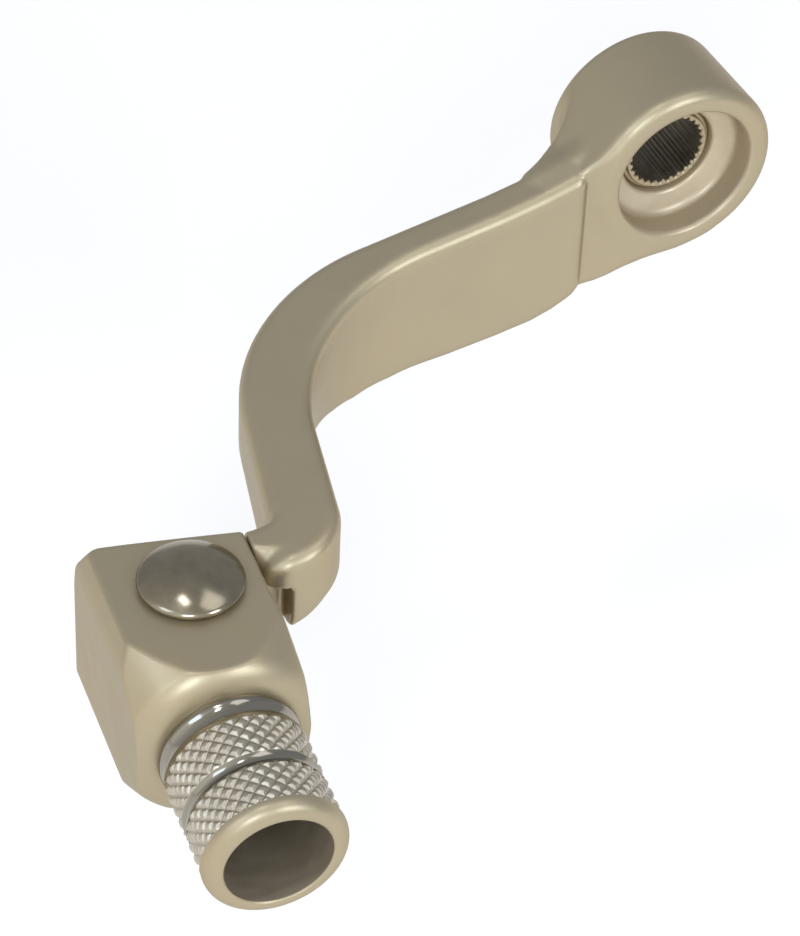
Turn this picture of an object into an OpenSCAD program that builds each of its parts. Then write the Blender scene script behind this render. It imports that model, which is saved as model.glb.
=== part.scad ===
// Motorcycle gear-change lever with a spring-return folding toe tip.
// Finished frame: origin in the middle of the splined bore, +Z up, shift shaft
// along Y with the outer side at -Y, the lever runs to -X. The modules below are
// drawn from the hub's outer face; place() moves them to the finished frame.

/* [Hub] */
// Outer diameter of the hub at its outer face
hub_d = 29.6; // [26:0.2:34]
// Outer diameter of the hub at its inner face
hub_back_d = 28.4; // [25:0.2:33]
// Width of the hub along the shift shaft
hub_w = 18; // [14:0.5:22]
// Diameter of the bolt-head counterbore
cbore_d = 22; // [18:0.5:24]
// Depth of the counterbore from the outer face
cbore_depth = 5.6; // [3:0.1:8]
// Width of the chamfers on the hub's rims
hub_chamfer = 1; // [0.5:0.1:2]

/* [Spline] */
// Diameter over the roots of the spline
spline_root_d = 12; // [10:0.1:14]
// Diameter over the crests of the spline
spline_crest_d = 11.2; // [9:0.1:13]
// Number of serrations
spline_teeth = 28; // [20:1:36]
// Outside diameter of the splined insert
insert_d = 15; // [14:0.2:18]
// How far the insert sits behind the counterbore floor
insert_setback = 0.6; // [0.2:0.1:1.5]

/* [Arm] */
// Front face of the straight arm, measured from the hub's outer face
arm_front = 0.5; // [0:0.1:2]
// Thickness of the straight arm
arm_t = 7; // [6:0.1:9]
// Inside radius of the first bend
bend1_in = 29; // [24:0.5:34]
// Outside radius of the first bend
bend1_out = 29; // [20:0.5:34]
// Outside radius of the second bend
bend2_out = 9; // [6:0.5:12]

/* [Pivot] */
// Pivot position along the lever, from the shaft axis
pivot_x = 98.2; // [90:0.1:106]
// Pivot position outward from the hub's outer face
pivot_out = 42.5; // [36:0.5:48]
// Height of the peg axis below the shaft axis
peg_drop = 22.3; // [18:0.1:26]
// Offset of the peg axis from the pivot axis, toward the front
peg_shift = 0.4; // [0:0.1:2]
// Turn of the peg toward the front, degrees
peg_turn = 5.3; // [0:0.1:12]
// Rivet shank diameter
shank_d = 7; // [5:0.5:9]
// Rivet head diameter
head_d = 15; // [12:0.5:18]
// Height of the straight rim of the rivet head
head_rim = 1.2; // [0.5:0.1:2]
// Height of the dome above the rim
head_dome = 2.4; // [1:0.1:3]
// Outside diameter of the pivot bush
bush_d = 9.2; // [8:0.1:11]
// Radial running clearance of the rivet in the bush
run_gap = 0.05; // [0.02:0.01:0.1]
// Outside diameter of the arm's pivot eye
eye_d = 17.6; // [15:0.2:20]
// Thickness of the arm's tongue inside the block
tongue_t = 8; // [6:0.5:10]
// Thickness of each thrust washer
thrust_t = 0.8; // [0.5:0.1:1.2]

/* [Tip block] */
// Distance from the pivot axis to the outer flat side
block_left = 13.2; // [11:0.1:16]
// Distance from the pivot axis to the side facing the arm
block_right = 10; // [8:0.1:13]
// Distance from the pivot axis to the back of the block
block_back = 13.2; // [9:0.1:15]
// Distance from the pivot axis to the boss face at the peg
block_front = 19.7; // [17:0.1:24]
// Height of the block above the peg axis
block_top = 13.7; // [11:0.1:16]
// Depth of the block below the peg axis
block_bot = 11.3; // [10:0.1:16]
// Radius of the boss cone at the boss face
cone_r = 12.8; // [11:0.1:15]
// Growth of the cone radius for each mm away from the peg
cone_slope = 0.42; // [0.3:0.02:0.7]
// Thickness of the upper ear
ear_top = 4.6; // [3:0.1:6]
// Free gap between the block's side and the arm's shoulder
side_gap = 0.5; // [0.3:0.1:1.5]

/* [Peg] */
// Diameter of the knurled bands
peg_d = 20.4; // [16:0.2:26]
// Diameter of the polished neck at the boss
neck_d = 20; // [15:0.1:25]
// Length of the peg beyond the boss face
peg_len = 20; // [16:0.5:30]
// Diameter of the blind bore in the peg
bore_d = 15.2; // [10:0.2:18]
// Depth of the blind bore
bore_depth = 25; // [15:0.5:28]
// Diameter of the spigot pressed into the block
spigot_d = 17; // [14:0.5:20]
// Width of the polished groove between the bands
groove_w = 2; // [1:0.1:3]

/* [Spring] */
// Wire diameter of the return spring
wire_d = 1.2; // [0.8:0.1:1.6]
// Mean diameter of the return spring
coil_d = 13; // [12:0.1:14]
// Number of coils
coils = 4; // [3:1:4]

/* [Hidden] */
$fn = 96;
e = 0.01;

bore_mid = 12;
hub_r = hub_d / 2;
hub_back_r = hub_back_d / 2;
insert_y = cbore_depth + insert_setback;
top_z = block_top - peg_drop;
pocket_top = top_z - ear_top;
tongue_top = pocket_top - thrust_t;
tongue_bot = tongue_top - tongue_t;
pocket_bot = tongue_bot - thrust_t;
bot_z = -block_bot - peg_drop;
shank_r = shank_d / 2;
eye_r = eye_d / 2;
well_in = coil_d / 2 - wire_d / 2 - 0.5;
well_out = coil_d / 2 + wire_d / 2 + 0.5;
well_top = tongue_bot + coils * wire_d + 0.8;
ALU = [0.72, 0.69, 0.60];
STEEL = [0.55, 0.55, 0.56];
BRIGHT = [0.82, 0.82, 0.82];
BRONZE = [0.72, 0.52, 0.30];

// ---- helpers -------------------------------------------------------------
// from the hub's outer face to the middle of the splined bore
module place() {
  translate([0, -bore_mid, 0]) children();
}

module along_y(y0) {
  translate([0, y0, 0]) rotate([-90, 0, 0]) children();
}

module rod_y(r, y0, y1) {
  along_y(y0) cylinder(r = r, h = y1 - y0);
}

module at_pivot() {
  translate([-pivot_x, -pivot_out, 0]) children();
}

// local frame of the tip: pivot axis at the origin, peg along -Y
module in_tip() {
  at_pivot() rotate([0, 0, -peg_turn]) children();
}

// local frame of the peg: origin on the peg axis
module in_peg() {
  in_tip() translate([-peg_shift, 0, -peg_drop]) children();
}

module ring(r_in, r_out, z0, z1) {
  translate([0, 0, z0]) difference() {
    cylinder(r = r_out, h = z1 - z0);
    translate([0, 0, -1]) cylinder(r = r_in, h = z1 - z0 + 2);
  }
}

// ---- lever arm -----------------------------------------------------------
// side view of the arm, drawn as [x, z]
module arm_side() {
  polygon([[-14, 4.6], [-17, 4.2], [-30, 0.8], [-48, -2.3], [-86, -8.6], [-92, -8.6],
           [-92, -22.4], [-84, -21.8], [-80, -20], [-76, -18.4], [-70, -18.8], [-62, -22.4],
           [-55, -24.6], [-48, -25], [-38, -24.2], [-30, -23.2], [-23, -21.9], [-19, -20.3],
           [-17, -18.6], [-14, -17]]);
}

// plan view of the arm, drawn as [x, y]
module arm_plan() {
  back = arm_front + arm_t;
  difference() {
    union() {
      polygon([[-14, back], [-50.4, back], [-50.4, -21.5], [-78.6, -14.7], [-83.2, -34],
               [-84.4, -35], [-92, -35], [-92, -44.7], [-82.6, -44.7], [-82.6, -35.7],
               [-73.6, -37.6], [-60, -20], [-14, -10]]);
      intersection() {
        translate([-50.4, back - bend1_out]) circle(r = bend1_out, $fn = 180);
        polygon([[-48, -24], [-48, 20], [-90, 20], [-90, -16]]);
      }
      intersection() {
        translate([-82.6, -44.7 + bend2_out]) circle(r = bend2_out);
        translate([-84, -46]) square([14, 12]);
      }
    }
    translate([-42.1, arm_front - bend1_in]) circle(r = bend1_in, $fn = 180);
    polygon([[0, arm_front], [-42.1, arm_front], [-42.1, -28.5], [-70.35, -22.2],
             [-75.2, -43.6], [-60, -60], [0, -60]]);
  }
}

// shoulder that faces the block: everything left of it is cut away
module shoulder_cut() {
  in_tip() translate([-30, -40, -40]) cube([30 + block_right + side_gap, 80, 80]);
}

module arm_bar() {
  difference() {
    intersection() {
      translate([0, 0, -40]) linear_extrude(height = 60) arm_plan();
      along_y(-60) scale([1, -1, 1]) linear_extrude(height = 80) arm_side();
    }
    shoulder_cut();
    // rounded front corner of the shoulder, struck so the tip can fold
    at_pivot() difference() {
      translate([9, -4, -30]) cube([5.4, 5.4, 30]);
      translate([14.4, 1.4, -31]) cylinder(r = 3.4, h = 32);
    }
    // round relief below, so the block's lower front edge can swing in
    at_pivot() intersection() {
      translate([0, 0, -40]) cylinder(r = 14.4, h = 40 + pocket_top);
      translate([6, -8, -40]) cube([10, 9.4, 40]);
    }
  }
}

// neck and eye that carry the pivot
module arm_tongue() {
  at_pivot() {
    translate([0, 0, tongue_bot]) cylinder(r = eye_r, h = tongue_t);
    translate([0, 1.4, tongue_bot]) cube([15, 5.4, tongue_t]);
  }
}

// hub turned about the shaft axis, with chamfered rims and a little draft
module hub_body() {
  c = hub_chamfer;
  w = hub_w;
  along_y(0) rotate_extrude($fn = 144)
    polygon([[0, 0], [hub_r - c, 0], [hub_r, c], [hub_back_r, w - c], [hub_back_r - c, w], [0, w]]);
}

// web between hub and arm, with the gusset behind the arm
module hub_web() {
  intersection() {
    along_y(-1) scale([1, -1, 1]) linear_extrude(height = 30)
      polygon([[-6.6, 12.6], [-9, 9.9], [-11.6, 8], [-15.6, 5.6], [-17, 4.2], [-24, 2.4],
               [-24, -20.3], [-17.5, -17.6], [-9, -15.9], [0, -14.9], [6, -13], [0, 0]]);
    translate([0, 0, -40]) linear_extrude(height = 80)
      polygon([[6, 0.2], [-15.4, 0.2], [-15.9, arm_front], [-22, arm_front], [-22, 7.5],
               [-16.5, 11.4], [-12, 15], [6, 16]]);
  }
}

module lever_arm() {
  color(ALU) difference() {
    union() {
      hub_body();
      hub_web();
      arm_bar();
      arm_tongue();
    }
    rod_y(cbore_d / 2, -1, cbore_depth);
    rod_y(insert_d / 2, cbore_depth - 1, hub_w + 1);
    // bush seat and spring well in the eye
    at_pivot() translate([0, 0, tongue_bot - 1]) cylinder(r = bush_d / 2, h = tongue_t + 2);
    at_pivot() ring(well_in, well_out, tongue_bot - 1, well_top);
    at_pivot() translate([0, coil_d / 2, well_top - 1]) cylinder(r = 0.9, h = 2.6);
  }
}

// ---- splined insert ------------------------------------------------------
module spline_insert() {
  n = spline_teeth;
  rc = spline_crest_d / 2;
  rr = spline_root_d / 2;
  color(STEEL) difference() {
    rod_y(insert_d / 2, insert_y, hub_w);
    rod_y(rc, insert_y - 1, hub_w + 1);
    along_y(insert_y - e) cylinder(r1 = rr + 0.7, r2 = rr - 0.4, h = 1.1);
    along_y(hub_w - 1.1 + e) cylinder(r1 = rr - 0.4, r2 = rr + 0.7, h = 1.1);
    for (i = [0 : n - 1])
      rotate([0, i * 360 / n, 0]) translate([rc - 0.1, insert_y - 1, 0])
        rotate([-90, 0, 0]) linear_extrude(height = hub_w - insert_y + 2)
          polygon([[0, -0.46], [0, 0.46], [rr - rc + 0.1, 0.04], [rr - rc + 0.1, -0.04]]);
  }
}

// ---- pivot parts ---------------------------------------------------------
module pivot_bush() {
  color(BRONZE) at_pivot()
    ring(shank_r + run_gap, bush_d / 2, tongue_bot, tongue_top);
}

module upper_thrust_washer() {
  color(BRONZE) at_pivot() ring(shank_r + 0.3, eye_r - 0.8, tongue_top, pocket_top);
}

module lower_thrust_washer() {
  color(BRONZE) at_pivot() ring(shank_r + 0.3, well_in - 0.1, pocket_bot, tongue_bot);
}

module torsion_spring() {
  z0 = tongue_bot + wire_d / 2 + 0.2;
  color(STEEL) at_pivot() {
    for (i = [0 : coils - 1])
      translate([0, 0, z0 + i * (wire_d - 0.04)])
        rotate_extrude($fn = 72) translate([coil_d / 2, 0]) circle(d = wire_d, $fn = 24);
    // upper leg hooked in the eye, lower leg hooked in the lower ear
    translate([0, coil_d / 2, z0 + (coils - 1) * wire_d - 0.2])
      cylinder(d = wire_d, h = 2.4, $fn = 24);
    translate([0, -coil_d / 2, pocket_bot - 2.6])
      cylinder(d = wire_d, h = z0 - pocket_bot + 2.6, $fn = 24);
  }
}

// ---- folding tip ---------------------------------------------------------
// plan view of the block, drawn in the tip's own frame
module block_plan() {
  f = -block_front;
  l = -block_left;
  polygon([[l, f], [l, block_back], [-6, block_back], [block_right, block_back - 3.6],
           [block_right, -5.6], [block_right + 3.4, -6.6], [block_right + 3.4, f]]);
}

// front view of the block: flat top, narrow chamfer on the outer side, flared inner side
module block_front_view() {
  r = block_right;
  polygon([[-block_left, -block_bot + 0.8], [-block_left, block_top - 3], [-11.6, block_top],
           [r + 0.1, block_top], [r + 0.9, 8.4], [r + 1.5, 0], [r + 0.8, -block_bot],
           [-block_left + 0.8, -block_bot]]);
}

module block_solid() {
  h = block_top + block_bot;
  difference() {
    intersection() {
      in_tip() translate([0, 0, bot_z]) linear_extrude(height = h) block_plan();
      in_tip() translate([0, 0, -peg_drop]) along_y(-block_front) scale([1, -1, 1])
        linear_extrude(height = 50) block_front_view();
      in_peg() along_y(-block_front)
        cylinder(r1 = cone_r, r2 = cone_r + 40 * cone_slope, h = 40, $fn = 144);
    }
    // sloped back edge of the flat top
    in_tip() translate([-15, 11.4, top_z]) rotate([0, 0, -7.8])
      rotate([90, 0, 90]) linear_extrude(height = 40)
        polygon([[0, 1], [8, 1], [8, -14], [2.6, -5.4], [0, 0]]);
  }
}

// pocket for the eye, opened where the arm's neck passes between rest and full fold
module pocket() {
  in_tip() translate([0, 0, pocket_bot]) linear_extrude(height = pocket_top - pocket_bot)
    union() {
      circle(r = eye_r + 0.4);
      polygon([[0, -7], [6, -8.4], [14, -8], [20, 0], [16, 16], [9, 13.5], [3, 10.2], [-1, 7]]);
    }
}

module tip_block() {
  color(ALU) difference() {
    block_solid();
    pocket();
    // rivet hole through both ears
    at_pivot() translate([0, 0, bot_z - 1]) cylinder(r = shank_r, h = 40);
    // flat seat for the rivet washer below
    at_pivot() translate([0, 0, bot_z - 1]) cylinder(r = 7, h = 3);
    // hole for the spring's lower leg
    at_pivot() translate([0, -coil_d / 2, pocket_bot - 3]) cylinder(r = 0.9, h = 4);
    // socket for the peg's spigot
    in_peg() rod_y(spigot_d / 2, -block_front - 1, -block_front + 7.4);
    // shadow groove round the peg's foot
    in_peg() difference() {
      rod_y(10.6, -block_front - 1, -block_front + 1);
      rod_y(neck_d / 2 - 0.6, -block_front - 2, -block_front + 2);
    }
  }
}

module knurled_peg() {
  p = -block_front;
  color(BRIGHT) in_peg() difference() {
    union() {
      rod_y(spigot_d / 2, p - e, p + 7.4);
      rod_y(neck_d / 2, p - 2.4, p);
      rod_y(peg_d / 2, p - 9, p - 2.4 + e);
      rod_y(neck_d / 2 - 0.2, p - 9 - groove_w, p - 9 + e);
      rod_y(peg_d / 2, p - peg_len + 1.6, p - 9 - groove_w + e);
      rod_y(peg_d / 2 + 0.1, p - peg_len + 1, p - peg_len + 1.7);
      along_y(p - peg_len) cylinder(r1 = peg_d / 2 - 1, r2 = peg_d / 2 + 0.1, h = 1);
    }
    rod_y(bore_d / 2, p - peg_len - 1, p - peg_len + bore_depth);
    along_y(p - peg_len - e) cylinder(r1 = bore_d / 2 + 0.6, r2 = bore_d / 2, h = 0.6);
  }
}

module pivot_rivet() {
  hr = head_d / 2;
  dome_r = (hr * hr + head_dome * head_dome) / (2 * head_dome);
  color(BRIGHT) at_pivot() {
    translate([0, 0, bot_z + 0.9]) cylinder(r = shank_r, h = top_z - bot_z - 0.8);
    translate([0, 0, top_z]) cylinder(r = hr, h = head_rim);
    intersection() {
      translate([0, 0, top_z + head_rim + head_dome - dome_r]) sphere(r = dome_r, $fn = 144);
      translate([0, 0, top_z + head_rim - e]) cylinder(r = hr, h = head_dome + 1);
    }
    // set-down end below the washer
    translate([0, 0, bot_z - 0.8]) cylinder(r1 = 3.9, r2 = 5, h = 1.8);
  }
}

module rivet_washer() {
  color(STEEL) at_pivot() ring(shank_r + 0.2, 6.5, bot_z + 1, bot_z + 2);
}

place() lever_arm();
place() spline_insert();
place() pivot_bush();
place() upper_thrust_washer();
place() lower_thrust_washer();
place() torsion_spring();
place() tip_block();
place() knurled_peg();
place() pivot_rivet();
place() rivet_washer();
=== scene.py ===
"""Looks for the gear-change lever with a folding toe tip.

Shapes are written as signed distances in millimetres, measured from the hub's outer face
(+Y into the hub, -X along the lever, +Z up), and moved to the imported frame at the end.
"""

import math

import bmesh
import bpy
import numpy as np
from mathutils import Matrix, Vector


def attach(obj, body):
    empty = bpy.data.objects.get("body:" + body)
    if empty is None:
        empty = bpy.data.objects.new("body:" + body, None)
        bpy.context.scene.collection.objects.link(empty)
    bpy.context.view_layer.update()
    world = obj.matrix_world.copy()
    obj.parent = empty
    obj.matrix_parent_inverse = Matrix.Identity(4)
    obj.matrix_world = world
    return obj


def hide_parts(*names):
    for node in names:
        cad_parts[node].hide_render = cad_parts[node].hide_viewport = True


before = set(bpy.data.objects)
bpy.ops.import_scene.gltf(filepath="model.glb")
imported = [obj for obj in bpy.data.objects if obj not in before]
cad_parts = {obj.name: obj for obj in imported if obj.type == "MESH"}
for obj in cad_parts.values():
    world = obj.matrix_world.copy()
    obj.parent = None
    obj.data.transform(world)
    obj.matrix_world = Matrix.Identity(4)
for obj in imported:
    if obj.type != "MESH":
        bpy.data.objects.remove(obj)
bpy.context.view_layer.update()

MM = 0.001
BORE_MID = 12.0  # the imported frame's origin is this far behind the hub's outer face

# ---- sizes in mm -------------------------------------------------------------
# They follow part.scad, except that the boss face (BLOCK_FRONT) sits 1.5 mm further back on
# the peg, with the boss, neck and peg length moved to suit.
HUB_R, HUB_BACK_R, HUB_W = 14.8, 14.2, 18.0
CBORE_R, CBORE_DEPTH = 11.0, 5.6
INSERT_R, INSERT_Y = 7.5, 6.2
SPLINE_ROOT, SPLINE_CREST, SPLINE_TEETH = 6.0, 5.6, 28
ARM_FRONT, ARM_BACK = 0.5, 7.5
PIVOT = (-98.2, -42.5)
TURN = math.radians(5.3)
PEG_DROP, PEG_SHIFT = 22.3, 0.4
TOP_Z, BOT_Z = -8.6, -33.6
POCKET_TOP, POCKET_BOT = -13.2, -22.8
TONGUE_TOP, TONGUE_BOT = -14.0, -22.0
VISIBLE_GAP = 0.22
BLOCK_LEFT, BLOCK_RIGHT, BLOCK_BACK, BLOCK_FRONT = 13.2, 10.0, 13.2, 18.2
CONE_R, CONE_SLOPE = 13.35, 0.42
PEG_R, NECK_R, PEG_LEN = 10.2, 10.15, 21.5
NECK_LEN, GROOVE_FROM, GROOVE_TO, LIP_LEN = 3.7, 10.5, 12.5, 2.5
PEG_BORE_R, PEG_BORE_DEPTH = 7.6, 25.0
SPIGOT_R, SPIGOT_LEN = 8.5, 7.4
SHANK_R, HEAD_R, HEAD_DOME = 3.5, 7.5, 2.4
WEB_FILLET, HUB_FRONT_EDGE, HUB_BACK_EDGE = 2.2, 2.2, 1.3
ARM_EDGE, CREASE_X, CREASE_Y, CREASE_ROLL = 2.1, 15.6, 2.6, 2.3
SHOULDER_EDGE, SHOULDER_CORNER = 0.5, 4.3
RELIEF_R, EYE_R, EYE_BORE_R = 14.4, 8.8, 4.6
BOSS_EDGE, SEAM = 2.8, 0.25
KNURL_AROUND, KNURL_PITCH, KNURL_DEPTH = 28, 2.2, 0.36
SPRING_WIRE_R, SPRING_MEAN_R, SPRING_TURNS, SPRING_RISE = 0.6, 6.5, 3.5, 1.22
ARM_VOXEL, BLOCK_VOXEL = 0.45, 0.3


# ---- signed-distance helpers ------------------------------------------------
def poly_dist(px, py, pts):
    """Signed distance to a closed polygon, negative inside."""
    px, py = np.broadcast_arrays(px, py)
    best = np.full(px.shape, 1e9)
    inside = np.zeros(px.shape, bool)
    n = len(pts)
    for i in range(n):
        x0, y0 = pts[i]
        x1, y1 = pts[(i + 1) % n]
        ex, ey = x1 - x0, y1 - y0
        wx, wy = px - x0, py - y0
        t = np.clip((wx * ex + wy * ey) / (ex * ex + ey * ey), 0.0, 1.0)
        best = np.minimum(best, (wx - ex * t) ** 2 + (wy - ey * t) ** 2)
        if y0 != y1:
            cross = (y0 <= py) != (y1 <= py)
            inside ^= cross & (px < x0 + (py - y0) / (y1 - y0) * ex)
    return np.where(inside, -1.0, 1.0) * np.sqrt(best)


def rmax(a, b, r):
    """Intersection of two shapes with its edge rounded to radius r."""
    u = np.maximum(a + r, 0.0)
    v = np.maximum(b + r, 0.0)
    return np.minimum(np.maximum(a, b), -r) + np.sqrt(u * u + v * v)


def smin(a, b, k):
    """Union of two shapes with a fillet of about k."""
    h = np.maximum(k - np.abs(a - b), 0.0) / k
    return np.minimum(a, b) - h * h * k * 0.25


def hyp(a, b):
    """Distance from an axis, for arrays."""
    return np.sqrt(a * a + b * b)


def arc(cx, cy, r, a0, a1, n):
    """n points on an arc about (cx, cy), angles in degrees."""
    return [
        (cx + r * math.cos(math.radians(a0 + (a1 - a0) * i / (n - 1))),
         cy + r * math.sin(math.radians(a0 + (a1 - a0) * i / (n - 1))))
        for i in range(n)
    ]


# ---- surface extraction ------------------------------------------------------
def surface_net(field, low, step):
    """Vertices and quads of the zero level of a sampled field."""
    inside = field < 0
    total = np.zeros(tuple(s - 1 for s in field.shape), np.int8)
    for i in (0, 1):
        for j in (0, 1):
            for k in (0, 1):
                total += inside[i:i + total.shape[0], j:j + total.shape[1], k:k + total.shape[2]]
    active = (total > 0) & (total < 8)
    cells = np.argwhere(active)
    index = np.full(total.shape, -1, np.int64)
    index[active] = np.arange(len(cells))
    sums = np.zeros((len(cells), 3))
    count = np.zeros(len(cells))
    for axis in range(3):
        step_v = np.zeros(3, int)
        step_v[axis] = 1
        others = [a for a in range(3) if a != axis]
        for p in (0, 1):
            for q in (0, 1):
                off = np.zeros(3, int)
                off[others[0]], off[others[1]] = p, q
                a_i = cells + off
                b_i = a_i + step_v
                fa = field[a_i[:, 0], a_i[:, 1], a_i[:, 2]]
                fb = field[b_i[:, 0], b_i[:, 1], b_i[:, 2]]
                hit = (fa < 0) != (fb < 0)
                t = np.where(hit, fa / np.where(hit, fa - fb, 1.0), 0.0)
                sums += hit[:, None] * (off + t[:, None] * step_v)
                count += hit
    verts = low + step * (cells + sums / count[:, None])
    quads = []
    for axis in range(3):
        u, v = (axis + 1) % 3, (axis + 2) % 3
        sl_a = [slice(None)] * 3
        sl_b = [slice(None)] * 3
        sl_a[axis], sl_b[axis] = slice(0, -1), slice(1, None)
        change = inside[tuple(sl_a)] != inside[tuple(sl_b)]
        pts = np.argwhere(change)
        keep = (pts[:, u] > 0) & (pts[:, v] > 0)
        keep &= (pts[:, u] < total.shape[u]) & (pts[:, v] < total.shape[v])
        pts = pts[keep]
        flip = ~inside[pts[:, 0], pts[:, 1], pts[:, 2]]
        ring = []
        for du, dv in ((-1, -1), (0, -1), (0, 0), (-1, 0)):
            c = pts.copy()
            c[:, u] += du
            c[:, v] += dv
            ring.append(index[c[:, 0], c[:, 1], c[:, 2]])
        ring = np.stack(ring, 1)
        ring[flip] = ring[flip][:, ::-1]
        quads.append(ring)
    return verts, np.concatenate(quads)


def settle(verts, sdf, step, rounds=4):
    """Moves vertices onto the surface along the field's slope."""
    e = 0.01
    limit = step * 0.5
    for _ in range(rounds):
        f = sdf(verts[:, 0], verts[:, 1], verts[:, 2])
        g = np.stack([
            (sdf(verts[:, 0] + e, verts[:, 1], verts[:, 2])
             - sdf(verts[:, 0] - e, verts[:, 1], verts[:, 2])) / (2 * e),
            (sdf(verts[:, 0], verts[:, 1] + e, verts[:, 2])
             - sdf(verts[:, 0], verts[:, 1] - e, verts[:, 2])) / (2 * e),
            (sdf(verts[:, 0], verts[:, 1], verts[:, 2] + e)
             - sdf(verts[:, 0], verts[:, 1], verts[:, 2] - e)) / (2 * e),
        ], 1)
        size = np.maximum((g * g).sum(1), 0.05)
        move = np.clip(f / size, -limit, limit)
        verts = verts - g * move[:, None]
    return verts


def mesh_object(name, verts_mm, faces):
    """A smooth mesh from vertices in hub-face millimetres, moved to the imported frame."""
    v = (np.asarray(verts_mm, float) - np.array([0.0, BORE_MID, 0.0])) * MM
    mesh = bpy.data.meshes.new(name)
    mesh.vertices.add(len(v))
    mesh.vertices.foreach_set("co", v.astype(np.float32).ravel())
    n, k = faces.shape
    mesh.loops.add(n * k)
    mesh.loops.foreach_set("vertex_index", faces.astype(np.int32).ravel())
    mesh.polygons.add(n)
    mesh.polygons.foreach_set("loop_start", np.arange(0, n * k, k, dtype=np.int32))
    mesh.update(calc_edges=True)
    mesh.validate()
    mesh.polygons.foreach_set("use_smooth", [True] * len(mesh.polygons))
    mesh.update()
    obj = bpy.data.objects.new(name, mesh)
    bpy.context.scene.collection.objects.link(obj)
    return obj


def solid_from(name, sdf, low, high, step):
    """A mesh of the shape's surface inside the box, sampled every step."""
    low = np.array(low, float)
    n = np.ceil((np.array(high, float) - low) / step).astype(int) + 1
    xs, ys, zs = (low[i] + step * np.arange(n[i]) for i in range(3))
    field = sdf(xs[:, None, None], ys[None, :, None], zs[None, None, :])
    verts, quads = surface_net(np.asarray(field, float), low, step)
    verts = settle(verts, sdf, step)
    return mesh_object(name, verts, quads)


def tip_to_world(v):
    """Tip frame (pivot axis at the origin, peg along -Y) to hub-face millimetres."""
    v = np.asarray(v, float)
    c, s = math.cos(TURN), math.sin(TURN)
    return np.stack([PIVOT[0] + v[:, 0] * c + v[:, 1] * s,
                     PIVOT[1] - v[:, 0] * s + v[:, 1] * c, v[:, 2]], 1)


def world_to_tip(x, y):
    """Hub-face millimetres to the tip frame, in plan."""
    c, s = math.cos(TURN), math.sin(TURN)
    dx, dy = x - PIVOT[0], y - PIVOT[1]
    return dx * c - dy * s, dx * s + dy * c


# ---- lever arm -----------------------------------------------------------------
def arm_plan_points():
    """Outline of the arm seen from above."""
    pts = [(-14, ARM_BACK)]
    pts += arc(-50.4, ARM_BACK - 29, 29, 90, 166.5, 40)
    pts += [(-83.0, -33.2)]
    pts += arc(-84.6, -33.6, 1.6, 0, -60, 5)
    pts += [(-92, -35), (-92, -44.6)]
    pts += arc(-82.6, -35.7, 9, 270, 347, 26)
    pts += arc(-42.1, ARM_FRONT - 29, 29, 167.5, 90, 46)
    pts += [(-14, ARM_FRONT)]
    return pts


ARM_SIDE = [(-14, 4.8), (-17, 4.2), (-23, 2.4), (-30, 0.8), (-48, -2.3), (-86, -8.6), (-94, -8.6),
            (-94, -22.4), (-84, -21.8), (-81, -20.6), (-78, -19), (-75, -18.3), (-71, -18.5),
            (-66, -20.4), (-60, -23.1), (-55, -24.6), (-48, -25), (-38, -24.2), (-30, -23.2),
            (-24, -22.2), (-20.5, -21.0), (-18.2, -19.8), (-16.5, -18.8), (-14, -18.2)]
WEB_SIDE = [(-9, 8.0), (-11.5, 7.4), (-13.2, 6.5), (-15.6, 5.1), (-17.2, 4.0), (-24, 1.8),
            (-24, -20.6), (-17.5, -18.3), (-9, -16.1), (0, -14.7), (6, -12.4), (0, 0)]
WEB_PLAN = [(6, -3), (-9, -3), (-12.6, -0.1), (-15.7, 1.3), (-23, 1.5), (-23, 7.4), (-16.5, 11.4),
            (-12, 15), (6, 16)]
ARM_PLAN = arm_plan_points()


def hub_and_web(x, y, z):
    """Tapered hub with the web that carries it into the arm."""
    r = hyp(x, z)
    side = r - (HUB_R - (HUB_R - HUB_BACK_R) * y / HUB_W)
    web = rmax(poly_dist(x, z, WEB_SIDE), poly_dist(x, y, WEB_PLAN), 0.9)
    both = smin(side, web, WEB_FILLET)
    return rmax(rmax(both, -y, HUB_FRONT_EDGE), y - HUB_W, HUB_BACK_EDGE)


def arm_bar(x, y, z):
    """The arm from the crease beside the hub to the shoulder beside the block."""
    u, _ = world_to_tip(x, y)
    shoulder = BLOCK_RIGHT + VISIBLE_GAP - u
    plan = poly_dist(x, y, ARM_PLAN)
    side = poly_dist(x, z, ARM_SIDE)
    # the shoulder's front corner is rounder, so that the block clears it when folded
    front = np.clip((-38.5 - y) / 3.0, 0, 1)
    corner = SHOULDER_EDGE + SHOULDER_CORNER * front * front * (3 - 2 * front)
    bar = rmax(rmax(plan, side, ARM_EDGE), shoulder, corner)
    bar = rmax(bar, np.minimum(x + CREASE_X, CREASE_Y - y), CREASE_ROLL)
    px, py = x - PIVOT[0], y - PIVOT[1]
    relief = np.maximum(np.maximum(hyp(px, py) - RELIEF_R, z - POCKET_TOP), py - 1.4)
    return rmax(bar, -relief, SEAM)


def arm_tongue(x, y, z):
    """The tongue and its eye, inside the block's pocket."""
    px, py = x - PIVOT[0], y - PIVOT[1]
    mid = (TONGUE_TOP + TONGUE_BOT) / 2
    slab = np.abs(z - mid) - (TONGUE_TOP - TONGUE_BOT) / 2
    neck = np.maximum(np.maximum(-px, px - 15), np.abs(py - 4.1) - 2.7)
    plan = smin(hyp(px, py) - EYE_R, neck, 2.0)
    eye = rmax(plan, slab, 0.4)
    return rmax(eye, EYE_BORE_R - hyp(px, py), 0.3)


def counterbore(x, y, z):
    """The bolt seat, with its floor dished towards the insert."""
    r = hyp(x, z)
    floor = y - (CBORE_DEPTH + 0.3 - 0.32 * (r - INSERT_R))
    return rmax(r - CBORE_R, floor, 1.0)


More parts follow.
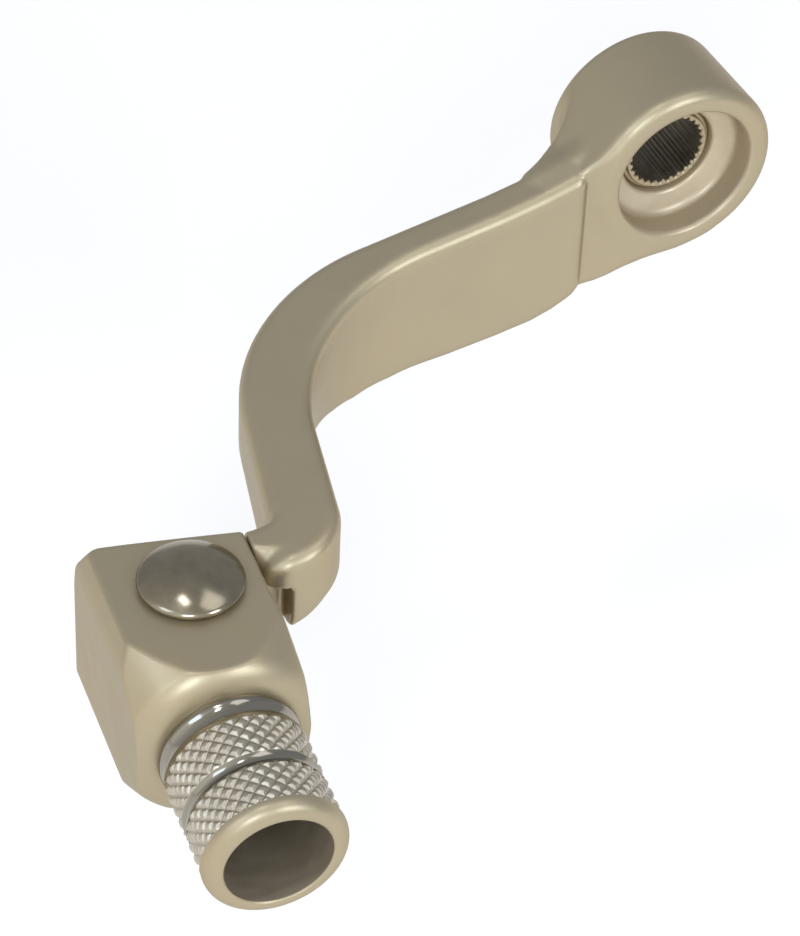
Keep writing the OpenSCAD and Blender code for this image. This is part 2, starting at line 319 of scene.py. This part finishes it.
def lever_sdf(x, y, z):
    """The whole arm. The fillet at the crease is tight in front and full behind."""
    fillet = 0.2 + 2.2 * np.clip((y - 2.2) / 3.0, 0, 1)
    body = smin(hub_and_web(x, y, z), arm_bar(x, y, z), fillet)
    body = smin(body, arm_tongue(x, y, z), 0.5)
    body = rmax(body, -counterbore(x, y, z), 0.9)
    bore = np.maximum(hyp(x, z) - INSERT_R, 2.0 - y)
    return rmax(body, -bore, 0.35)


def make_lever_arm():
    low, high = (-108.2, -52.4, -26.2), (16.2, 19.4, 16.2)
    return solid_from("lever_arm_forging", lever_sdf, low, high, ARM_VOXEL)


# ---- splined insert ---------------------------------------------------------------
def make_spline_insert():
    """The serrated ring, with a raised lip round the teeth."""
    n = SPLINE_TEETH * 14
    theta = np.arange(n) * 2 * math.pi / n
    wave = np.abs(((theta * SPLINE_TEETH / (2 * math.pi)) % 1.0) * 2 - 1)
    tooth = np.clip((wave - 0.12) / 0.7, 0, 1)
    tooth = tooth * tooth * (3 - 2 * tooth)
    inner = SPLINE_ROOT - (SPLINE_ROOT - SPLINE_CREST) * tooth
    rows = [  # (radius, y): plain numbers are round, the ones built on inner follow the teeth
        (INSERT_R - 0.02, HUB_W - 0.35), (INSERT_R - 0.02, INSERT_Y + 1.1),
        (INSERT_R - 0.35, INSERT_Y + 0.75), (INSERT_R - 0.75, INSERT_Y + 0.7),
        (INSERT_R - 0.82, INSERT_Y + 0.12), (INSERT_R - 0.95, INSERT_Y),
        (SPLINE_ROOT + 0.34, INSERT_Y), (inner + 0.26, INSERT_Y + 0.05),
        (inner + 0.08, INSERT_Y + 0.25), (inner, INSERT_Y + 0.5), (inner, HUB_W - 0.6),
        (inner + 0.12, HUB_W - 0.2), (SPLINE_ROOT + 0.5, HUB_W), (INSERT_R - 0.4, HUB_W),
    ]
    verts, faces = [], []
    for radius, y in rows:
        verts.append(np.stack([radius * np.cos(theta), np.full(n, y), radius * np.sin(theta)], 1))
    m = len(rows)
    for j in range(m):
        a, b = j * n, ((j + 1) % m) * n
        i = np.arange(n)
        k = (i + 1) % n
        faces.append(np.stack([a + i, a + k, b + k, b + i], 1))
    obj = mesh_object("spline_insert_ring", np.concatenate(verts), np.concatenate(faces))
    sharpen(obj, 32)
    return obj


def sharpen(obj, degrees):
    """Marks edges sharper than the given angle, so flat faces shade flat."""
    mesh = obj.data
    bm = bmesh.new()
    bm.from_mesh(mesh)
    bmesh.ops.recalc_face_normals(bm, faces=bm.faces)
    limit = math.radians(degrees)
    for e in bm.edges:
        e.smooth = len(e.link_faces) != 2 or e.calc_face_angle(0.0) < limit
    bm.to_mesh(mesh)
    bm.free()
    mesh.update()


# ---- folding block ------------------------------------------------------------------
def block_sdf_tip(x, y, z):
    """The outside of the block, in the tip frame: sloped back, chamfered left, flared right."""
    w = z + PEG_DROP
    top, bottom = TOP_Z + PEG_DROP, BOT_Z + PEG_DROP
    s, c = math.sin(math.radians(7.8)), math.cos(math.radians(7.8))
    back_line = (x + 15) * s + (y - 11.4) * c
    slope = (back_line * 5.4 + (w - top) * 2.6) / 5.993
    back = rmax(y - BLOCK_BACK, ((x + 6) * 3.6 + (y - BLOCK_BACK) * 16) / 16.4, 3.0)
    back = rmax(back, slope, 3.0)
    chamfer = (-(x + BLOCK_LEFT) * 3.0 + (w - top + 3.0) * 1.6) / 3.4
    left = rmax(-BLOCK_LEFT - x, chamfer, 0.5)
    flare = np.clip(1.0 - (y + 6.6) / 1.6, 0, 1)
    bulge = np.interp(np.clip(w, bottom, top), [bottom, 0.0, 8.4, top], [0.8, 1.5, 0.9, 0.1])
    right = x - BLOCK_RIGHT - flare * bulge
    rc = hyp(x + PEG_SHIFT, w)
    cone = (rc - (CONE_R + CONE_SLOPE * (y + BLOCK_FRONT))) * 0.922
    cone = rmax(cone, -BLOCK_FRONT - y, BOSS_EDGE)
    body = rmax(rmax(left, back, 1.8), w - top, 0.4)
    body = rmax(body, bottom - w, 0.9)
    body = rmax(body, right, 0.7)
    return rmax(body, cone, SEAM)


POCKET_PLAN = [(0, -7), (6, -8.4), (14, -8), (20, 0), (16, 16), (9, 13.5), (3, 10.2), (-1, 7)]


def block_cuts_tip(x, y, z):
    """Pocket for the eye, rivet hole, seat for the washer and socket for the peg."""
    slab = np.maximum(z - POCKET_TOP, POCKET_BOT - z)
    pocket = np.maximum(np.minimum(hyp(x, y) - 9.2, poly_dist(x, y, POCKET_PLAN)), slab)
    shank = hyp(x, y) - SHANK_R - 0.02
    seat = np.maximum(hyp(x, y) - 7.0, z - (BOT_Z + 2.0))
    w = z + PEG_DROP
    rc = hyp(x + PEG_SHIFT, w)
    socket = np.maximum(rc - SPIGOT_R, y + BLOCK_FRONT - SPIGOT_LEN)
    return np.minimum(np.minimum(pocket, shank), np.minimum(seat, socket))


def block_sdf(x, y, z):
    u, v = world_to_tip(x, y)
    return rmax(block_sdf_tip(u, v, z), -block_cuts_tip(u, v, z), SEAM)


def make_tip_block():
    low, high = (-115.2, -64.8, -34.6), (-83.4, -27.6, -7.6)
    return solid_from("tip_block_forging", block_sdf, low, high, BLOCK_VOXEL)


# ---- turned pieces --------------------------------------------------------------------
def lathe(profile, n):
    """Rings of (radius, axial position) turned about the axis: vertices [r, a, angle]."""
    theta = np.arange(n) * 2 * math.pi / n
    verts = [np.stack([r * np.cos(theta), np.full(n, a), r * np.sin(theta)], 1) for r, a in profile]
    faces = []
    i = np.arange(n)
    k = (i + 1) % n
    for j in range(len(profile) - 1):
        a, b = j * n, (j + 1) * n
        faces.append(np.stack([a + i, b + i, b + k, a + k], 1))
    return np.concatenate(verts), np.concatenate(faces)


def knurl_height(theta, a):
    """0 in the grooves to 1 on the diamonds."""
    p = theta * KNURL_AROUND / (2 * math.pi)
    q = a / KNURL_PITCH
    g1 = np.abs(((p + q) % 1.0) * 2 - 1)
    g2 = np.abs(((p - q) % 1.0) * 2 - 1)
    d = 1.0 - np.maximum(g1, g2)
    h = np.clip((d - 0.10) / 0.62, 0, 1)
    return 1 - (1 - h) ** 1.6


def peg_to_world(v):
    """Peg frame (axis along Y, origin at the pivot's level) to hub-face millimetres."""
    v = np.asarray(v, float) + np.array([-PEG_SHIFT, 0, -PEG_DROP])
    return tip_to_world(v)


def knurl_band(a0, a1):
    """A diamond-knurled sleeve from axial position a0 to a1, with its ends eased."""
    n = KNURL_AROUND * 20
    rows = int(round((a1 - a0) / 0.11)) + 1
    theta = np.arange(n) * 2 * math.pi / n
    verts = []
    for a in np.linspace(a0, a1, rows):
        ease = np.clip(min(a - a0, a1 - a) / 0.35, 0, 1)
        h = knurl_height(theta, a)
        r = PEG_R - KNURL_DEPTH + KNURL_DEPTH * h * (0.35 + 0.65 * ease) - 0.12 * (1 - ease)
        verts.append(np.stack([r * np.cos(theta), np.full(n, a), r * np.sin(theta)], 1))
    faces = []
    i = np.arange(n)
    k = (i + 1) % n
    for j in range(rows - 1):
        faces.append(np.stack([j * n + i, j * n + k, (j + 1) * n + k, (j + 1) * n + i], 1))
    return np.concatenate(verts), np.concatenate(faces)


def make_peg():
    """The peg's turned core and its two knurled bands: one part in three pieces."""
    p = -BLOCK_FRONT
    end = p - PEG_LEN
    bore_end = end + PEG_BORE_DEPTH
    out_r, lip_r, under = PEG_R + 0.1, 2.1, PEG_R - 0.6
    groove0, groove1 = p - GROOVE_TO, p - GROOVE_FROM
    # inside of the blind bore, then round the lip, then out along the grip to the spigot
    profile = [(0.02, bore_end), (2.5, bore_end - 0.9), (PEG_BORE_R - 0.5, bore_end - 2.6),
               (PEG_BORE_R, bore_end - 3.2), (PEG_BORE_R, end + 12), (PEG_BORE_R, end + 0.45),
               (PEG_BORE_R + 0.08, end + 0.2), (PEG_BORE_R + 0.28, end + 0.04)]
    for t in np.linspace(-90, 0, 15):
        profile.append((out_r - lip_r + lip_r * math.cos(math.radians(t)),
                        end + lip_r + lip_r * math.sin(math.radians(t))))
    profile += [(out_r, end + 2.3), (out_r - 0.12, end + 2.42), (under, end + LIP_LEN),
                (under, groove0 - 0.05)]
    for t in np.linspace(0, 1, 11):
        a = groove0 + (groove1 - groove0) * t
        profile.append((PEG_R - 0.22 - 0.42 * math.sin(math.pi * t), a))
    profile += [(under, groove1 + 0.05), (under, p - NECK_LEN - 0.05)]
    for t in np.linspace(0, 1, 13):
        hollow = 0.30 * math.sin(math.pi * t) ** 0.8
        profile.append((NECK_R - 0.35 + 0.25 * t - hollow, p - NECK_LEN + 2.7 * t))
    for t in np.linspace(0.1, 1, 9):
        profile.append((NECK_R - 0.1 + 0.10 * math.sin(math.pi * t), p - 1.0 + 1.0 * t))
    profile += [(NECK_R - 0.1, p + 0.9), (SPIGOT_R - 0.02, p + 1.0), (SPIGOT_R - 0.02, p + 7.0),
                (SPIGOT_R - 0.4, p + SPIGOT_LEN - 0.02), (0.02, p + SPIGOT_LEN - 0.02)]
    v, f = lathe(profile, 192)
    core = mesh_object("peg_core", peg_to_world(v), f)
    sharpen(core, 30)
    bands = []
    for name, a0, a1 in (("peg_knurl_outer", end + LIP_LEN - 0.05, groove0),
                         ("peg_knurl_inner", groove1, p - NECK_LEN)):
        v, f = knurl_band(a0, a1)
        bands.append(mesh_object(name, peg_to_world(v), f[:, ::-1]))
    return core, bands


def make_rivet():
    """Set-down tail, shank, bevelled head and dome."""
    hr = HEAD_R
    pts = [(0.02, BOT_Z - 0.8), (3.6, BOT_Z - 0.8), (3.9, BOT_Z - 0.6), (4.9, BOT_Z + 0.8),
           (5.0, BOT_Z + 1.0), (SHANK_R, BOT_Z + 1.02), (SHANK_R, TOP_Z - 0.1),
           (SHANK_R + 0.1, TOP_Z), (hr - 0.75, TOP_Z), (hr - 0.5, TOP_Z + 0.08),
           (hr - 0.04, TOP_Z + 0.72), (hr, TOP_Z + 0.85), (hr - 0.03, TOP_Z + 1.06),
           (hr - 0.16, TOP_Z + 1.24)]
    rad = (hr * hr + HEAD_DOME * HEAD_DOME) / (2 * HEAD_DOME)
    for t in np.linspace(0.955, 0.003, 36):
        r = hr * t
        pts.append((r, TOP_Z + 1.2 + HEAD_DOME - rad + math.sqrt(rad * rad - r * r)))
    v, f = lathe(pts, 144)
    v = v[:, [0, 2, 1]] + np.array([PIVOT[0], PIVOT[1], 0])
    obj = mesh_object("pivot_rivet_turned", v, f)
    sharpen(obj, 34)
    return obj


def make_spring():
    """A wound torsion spring: three and a half close turns and two straight legs."""
    mean, start = SPRING_MEAN_R, -math.pi / 2
    z0 = TONGUE_BOT + 0.8
    path = [(mean, start, POCKET_BOT - 2.5), (mean, start, z0 - 0.2)]
    for t in np.linspace(0, SPRING_TURNS * 2 * math.pi, 150):
        path.append((mean, start + t, z0 + SPRING_RISE * t / (2 * math.pi)))
    top = path[-1]
    path += [(mean, top[1], top[2] + 0.5), (mean, top[1], top[2] + 1.3)]
    pts = np.array([(PIVOT[0] + r * math.cos(a), PIVOT[1] + r * math.sin(a), z) for r, a, z in path])
    pts = pts[np.concatenate([[True], np.linalg.norm(np.diff(pts, axis=0), axis=1) > 1e-4])]
    d = np.gradient(pts, axis=0)
    d /= np.linalg.norm(d, axis=1)[:, None]
    n = 14
    verts = []
    ref = np.array([1.0, 0.0, 0.0])
    for p, t in zip(pts, d):
        side = ref - t * (ref @ t)
        side /= np.linalg.norm(side)
        up = np.cross(t, side)
        ref = side
        a = np.arange(n) * 2 * math.pi / n
        verts.append(p + SPRING_WIRE_R * (np.cos(a)[:, None] * side + np.sin(a)[:, None] * up))
    v = np.concatenate(verts)
    i = np.arange(n)
    k = (i + 1) % n
    faces = [np.stack([j * n + i, j * n + k, (j + 1) * n + k, (j + 1) * n + i], 1)
             for j in range(len(pts) - 1)]
    return mesh_object("torsion_spring_wound", v, np.concatenate(faces))


# ---- materials ---------------------------------------------------------------------------
def new_material(name):
    m = bpy.data.materials.new(name)
    m.use_nodes = True
    nt = m.node_tree
    return m, nt, nt.nodes["Principled BSDF"]


def noise(nt, scale, detail=3.0, rough=0.5, stretch=None):
    """Noise in object space, 0 to 1."""
    tex = nt.nodes.new("ShaderNodeTexNoise")
    tex.inputs["Scale"].default_value = scale
    tex.inputs["Detail"].default_value = detail
    tex.inputs["Roughness"].default_value = rough
    co = nt.nodes.new("ShaderNodeTexCoord")
    out = co.outputs["Object"]
    if stretch:
        mp = nt.nodes.new("ShaderNodeMapping")
        mp.inputs["Scale"].default_value = stretch
        nt.links.new(out, mp.inputs["Vector"])
        out = mp.outputs["Vector"]
    nt.links.new(out, tex.inputs["Vector"])
    return tex.outputs["Fac"]


def ramp(nt, fac, stops):
    """Colours along fac, from (position, RGB) stops."""
    r = nt.nodes.new("ShaderNodeValToRGB")
    els = r.color_ramp.elements
    while len(els) < len(stops):
        els.new(0.5)
    for e, (pos, col) in zip(els, stops):
        e.position = pos
        e.color = (*col, 1.0)
    nt.links.new(fac, r.inputs["Fac"])
    return r.outputs["Color"]


def grey(a):
    return (a, a, a)


def bump(nt, bsdf, height, strength, distance):
    b = nt.nodes.new("ShaderNodeBump")
    b.inputs["Strength"].default_value = strength
    b.inputs["Distance"].default_value = distance
    nt.links.new(height, b.inputs["Height"])
    nt.links.new(b.outputs["Normal"], bsdf.inputs["Normal"])


def map_range(nt, value, **sockets):
    """A Map Range node on value, with its ends as keyword arguments, such as from_min."""
    m = nt.nodes.new("ShaderNodeMapRange")
    for key, number in sockets.items():
        m.inputs[key.replace("_", " ").title()].default_value = number
    nt.links.new(value, m.inputs["Value"])
    return m


def mix_colour(nt, factor, a, b):
    """Mixes colour socket a towards b, a socket or an RGB triple."""
    m = nt.nodes.new("ShaderNodeMix")
    m.data_type = "RGBA"
    nt.links.new(factor, m.inputs["Factor"])
    nt.links.new(a, m.inputs["A"])
    if isinstance(b, tuple):
        m.inputs["B"].default_value = (*b, 1.0)
    else:
        nt.links.new(b, m.inputs["B"])
    return m.outputs["Result"]


def metal(name, colours, roughness, n_scale, detail, stops=(0.3, 0.7), metallic=1.0, stretch=None):
    """Plain metal whose colour and roughness wander together between two values."""
    m, nt, b = new_material(name)
    b.inputs["Metallic"].default_value = metallic
    n = noise(nt, n_scale, *detail, stretch=stretch)
    nt.links.new(ramp(nt, n, list(zip(stops, colours))), b.inputs["Base Color"])
    nt.links.new(ramp(nt, n, list(zip(stops, map(grey, roughness)))), b.inputs["Roughness"])
    return m


SATIN = (0.428, 0.358, 0.232)
SATIN_DARK = (0.408, 0.343, 0.222)
SATIN_WARM = (0.452, 0.360, 0.224)
SATIN_METALLIC, SEAT_METALLIC = 0.75, 0.5


def satin_base(name):
    """Bead-blasted, clear-anodised forging: soft sheen, faint mottling, very fine grain."""
    m, nt, b = new_material(name)
    cloud = noise(nt, 38, 3, 0.5)
    colour = ramp(nt, cloud, [(0.32, SATIN_DARK), (0.52, SATIN), (0.74, SATIN_WARM)])
    soft = noise(nt, 300, 4, 0.6)
    nt.links.new(ramp(nt, soft, [(0.3, grey(0.35)), (0.7, grey(0.42))]), b.inputs["Roughness"])
    b.inputs["Specular Tint"].default_value = (0.62, 0.58, 0.52, 1.0)
    b.inputs["Coat Weight"].default_value = 0.12
    b.inputs["Coat Roughness"].default_value = 0.28
    b.inputs["Coat IOR"].default_value = 1.5
    b.inputs["Metallic"].default_value = SATIN_METALLIC
    bump(nt, b, noise(nt, 5200, 2, 0.5), 0.18, 0.00003)
    nt.links.new(colour, b.inputs["Base Color"])
    return m, nt, b, colour


def satin_aluminium():
    """The blasted outside of the block, lip and insert."""
    return satin_base("satin_aluminium")[0]


def satin_aluminium_hub():
    """The arm's finish; the counterbore is less metallic and painted lighter, as painted light."""
    m, nt, b, colour = satin_base("satin_aluminium_hub")
    co = nt.nodes.new("ShaderNodeTexCoord")
    flat = nt.nodes.new("ShaderNodeVectorMath")
    flat.operation = "MULTIPLY"
    flat.inputs[1].default_value = (1.0, 0.0, 1.0)
    nt.links.new(co.outputs["Object"], flat.inputs[0])
    radius = nt.nodes.new("ShaderNodeVectorMath")
    radius.operation = "LENGTH"
    nt.links.new(flat.outputs["Vector"], radius.inputs[0])
    r = radius.outputs["Value"]
    inside = map_range(nt, r, from_min=(CBORE_R + 0.7) * MM, from_max=(CBORE_R - 0.1) * MM)
    wall = map_range(nt, r, from_min=(CBORE_R - 1.2) * MM, from_max=(CBORE_R - 0.2) * MM)
    for step in (inside, wall):
        step.interpolation_type = "SMOOTHSTEP"
    # painted light: the seat's floor is painted lightest and its wall lighter than the satin
    floor = ramp(nt, noise(nt, 260, 3, 0.5), [(0.3, (0.51, 0.42, 0.29)), (0.7, (0.58, 0.48, 0.335))])
    seat = mix_colour(nt, wall.outputs["Result"], floor, (0.49, 0.40, 0.275))
    nt.links.new(mix_colour(nt, inside.outputs["Result"], colour, seat), b.inputs["Base Color"])
    metallic = map_range(nt, inside.outputs["Result"], to_min=SATIN_METALLIC, to_max=SEAT_METALLIC)
    nt.links.new(metallic.outputs["Result"], b.inputs["Metallic"])
    return m


def turned_aluminium():
    """Bright machined knurl."""
    m, nt, b = new_material("turned_aluminium")
    b.inputs["Metallic"].default_value = 1.0
    n = noise(nt, 700, 3, 0.6)
    fine = noise(nt, 1500, 3, 0.5)
    nt.links.new(ramp(nt, n, [(0.3, (0.45, 0.40, 0.31)), (0.7, (0.54, 0.485, 0.385))]),
                 b.inputs["Base Color"])
    nt.links.new(ramp(nt, fine, [(0.3, grey(0.30)), (0.7, grey(0.42))]), b.inputs["Roughness"])
    return m


def polished_band():
    """The polished neck and groove, painted dark as a painted reflection, with faint streaks."""
    return metal("polished_band", ((0.27, 0.245, 0.195), (0.34, 0.31, 0.25)), (0.08, 0.15),
                 60, (2, 0.5), stretch=(1, 60, 1))


def bore_metal():
    """Inside of the peg, painted darker and browner than the outside as painted shade, and duller."""
    return metal("bore_metal", ((0.25, 0.205, 0.142), (0.29, 0.238, 0.165)), (0.42, 0.55),
                 240, (3, 0.5), metallic=0.5, stretch=(1, 3, 1))


def polished_steel():
    """Rivet head, painted dark as a painted reflection, with faint handling marks."""
    return metal("polished_steel", ((0.265, 0.226, 0.158), (0.305, 0.264, 0.188)), (0.15, 0.21),
                 400, (4, 0.6), stops=(0.35, 0.65))


def spline_dark():
    """Inside of the serrations, painted dark as painted shade deep in the bore."""
    return metal("spline_dark", ((0.15, 0.13, 0.095), (0.22, 0.19, 0.14)), (0.5, 0.65), 600, (4, 0.6))


def insert_steel():
    """Machined steel of the rivet's washer."""
    return metal("insert_steel", ((0.47, 0.44, 0.38), (0.55, 0.52, 0.45)), (0.24, 0.36), 600, (4, 0.6))


def spring_steel():
    """Drawn wire."""
    return metal("spring_steel", ((0.26, 0.26, 0.27), (0.36, 0.36, 0.37)), (0.2, 0.3), 600, (4, 0.6))


def bearing_bronze():
    """Bush and thrust washers."""
    return metal("bearing_bronze", ((0.50, 0.32, 0.14), (0.62, 0.42, 0.20)), (0.25, 0.4), 600, (4, 0.6))


def put(obj, *mats):
    """Gives the object these materials, in slot order."""
    obj.data.materials.clear()
    for m in mats:
        obj.data.materials.append(m)


# ---- camera, floor, light --------------------------------------------------------------------
def make_camera():
    cam = bpy.data.cameras.new("camera")
    cam.sensor_fit = "AUTO"
    cam.sensor_width = 36.0
    cam.lens = 153.85
    cam.clip_start = 0.01
    cam.clip_end = 20.0
    obj = bpy.data.objects.new("camera", cam)
    obj.location = (-0.24775, -0.40811, 0.37642)
    obj.rotation_euler = tuple(math.radians(a) for a in (46.618, -2.030, -25.125))
    bpy.context.scene.collection.objects.link(obj)
    bpy.context.scene.camera = obj


def make_floor():
    size, z = 3.0, -0.10
    mesh = bpy.data.meshes.new("floor")
    corners = [(-size, -size, z), (size, -size, z), (size, size, z), (-size, size, z)]
    mesh.from_pydata(corners, [], [(0, 1, 2, 3)])
    obj = bpy.data.objects.new("floor", mesh)
    bpy.context.scene.collection.objects.link(obj)
    m, nt, b = new_material("floor_paper")
    b.inputs["Roughness"].default_value = 0.9
    b.inputs["Specular IOR Level"].default_value = 0.1
    n = noise(nt, 4, 2, 0.5)
    nt.links.new(ramp(nt, n, [(0.3, (0.92, 0.885, 0.845)), (0.7, (0.94, 0.905, 0.865))]),
                 b.inputs["Base Color"])
    b.inputs["Emission Color"].default_value = (1.0, 0.97, 0.93, 1.0)
    b.inputs["Emission Strength"].default_value = 0.13
    put(obj, m)


def direction(azimuth, elevation):
    """Azimuth 0 is +Y and 90 is +X, in degrees."""
    a, e = math.radians(azimuth), math.radians(elevation)
    return Vector((math.sin(a) * math.cos(e), math.cos(a) * math.cos(e), math.sin(e)))


LIGHT_DISTANCE, LIGHT_TARGET = 1.2, (-0.05, -0.03, -0.01)


def soft_light(name, azimuth, elevation, size, radiance, colour):
    """A soft box that looks equally bright from the object whatever its size."""
    d = direction(azimuth, elevation)
    light = bpy.data.lights.new(name, "AREA")
    light.shape = "RECTANGLE"
    light.size, light.size_y = size
    light.energy = radiance * math.pi * size[0] * size[1]
    light.color = colour
    obj = bpy.data.objects.new(name, light)
    obj.location = Vector(LIGHT_TARGET) + d * LIGHT_DISTANCE
    obj.rotation_euler = d.to_track_quat("Z", "Y").to_euler()
    bpy.context.scene.collection.objects.link(obj)


def make_lights():
    soft_light("front_box", 158, 30, (0.32, 0.50), 7.0, (0.90, 1.0, 1.16))
    soft_light("left_top_box", -100, 44, (0.34, 0.40), 2.7, (0.74, 0.98, 1.32))
    soft_light("camera_side_box", -150, 34, (0.30, 0.30), 9.0, (0.82, 1.0, 1.24))
    soft_light("top_lamp", -104, 78, (0.26, 0.14), 9.0, (0.94, 1.0, 1.10))
    soft_light("right_top_box", 128, 66, (0.50, 0.50), 1.5, (0.95, 1.0, 1.08))


def make_world():
    """A pale room, brighter towards the camera's left."""
    world = bpy.data.worlds.new("studio")
    bpy.context.scene.world = world
    world.use_nodes = True
    nt = world.node_tree
    bg = nt.nodes["Background"]
    co = nt.nodes.new("ShaderNodeTexCoord")
    dot = nt.nodes.new("ShaderNodeVectorMath")
    dot.operation = "DOT_PRODUCT"
    nt.links.new(co.outputs["Generated"], dot.inputs[0])
    dot.inputs[1].default_value = Vector((-0.75, -0.62, 0.15)).normalized()
    half = nt.nodes.new("ShaderNodeMath")
    half.operation = "MULTIPLY_ADD"
    half.inputs[1].default_value = 0.5
    half.inputs[2].default_value = 0.5
    nt.links.new(dot.outputs["Value"], half.inputs[0])
    room = [(0.35, (0.34, 0.36, 0.40)), (0.68, (0.48, 0.49, 0.51)), (0.92, (0.90, 0.91, 0.92))]
    nt.links.new(ramp(nt, half.outputs["Value"], room), bg.inputs["Color"])
    bg.inputs["Strength"].default_value = 1.33
    bpy.context.scene.view_settings.view_transform = "Standard"


# ---- assembly -----------------------------------------------------------------------------------
def colour_insert(insert):
    """Painted shade inside the teeth, satin elsewhere."""
    for poly in insert.data.polygons:
        c = poly.center / MM
        inner = math.hypot(c.x, c.z) < SPLINE_ROOT + 0.3 and c.y + BORE_MID > INSERT_Y + 0.2
        poly.material_index = 1 if inner else 0


def colour_core(core):
    """Polished neck and groove, dull bore, satin lip."""
    mesh = core.data
    c, s = math.cos(TURN), math.sin(TURN)
    lip = -BLOCK_FRONT - PEG_LEN + LIP_LEN - 0.05
    for poly in mesh.polygons:
        q = np.array(poly.center) / MM + np.array([0, BORE_MID, 0])
        dx, dy = q[0] - PIVOT[0], q[1] - PIVOT[1]
        x, a = dx * c - dy * s + PEG_SHIFT, dx * s + dy * c
        r = math.hypot(x, q[2] + PEG_DROP)
        if r < PEG_BORE_R + 0.05:
            # the bore's faces take the painted shade
            poly.material_index = 2
        elif a > lip:
            poly.material_index = 1
        else:
            poly.material_index = 0


def build():
    """Every piece, with its material, body and the CAD node it replaces."""
    satin, steel, bronze = satin_aluminium(), insert_steel(), bearing_bronze()

    arm = make_lever_arm()
    put(arm, satin_aluminium_hub())
    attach(arm, "arm")
    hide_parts("lever_arm")

    insert = make_spline_insert()
    put(insert, satin, spline_dark())
    colour_insert(insert)
    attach(insert, "arm")
    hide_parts("spline_insert")

    block = make_tip_block()
    put(block, satin)
    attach(block, "tip")
    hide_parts("tip_block")

    core, bands = make_peg()
    put(core, satin, polished_band(), bore_metal())
    colour_core(core)
    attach(core, "tip")
    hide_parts("knurled_peg")
    turned = turned_aluminium()
    for band in bands:
        put(band, turned)
        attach(band, "tip")

    rivet = make_rivet()
    put(rivet, polished_steel())
    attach(rivet, "tip")
    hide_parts("pivot_rivet")

    spring = make_spring()
    put(spring, spring_steel())
    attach(spring, "arm")
    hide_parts("torsion_spring")

    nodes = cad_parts
    for name in ("pivot_bush", "upper_thrust_washer", "lower_thrust_washer"):
        put(nodes[name], bronze)
    put(nodes["rivet_washer"], steel)


make_camera()
make_floor()
make_lights()
make_world()
build()
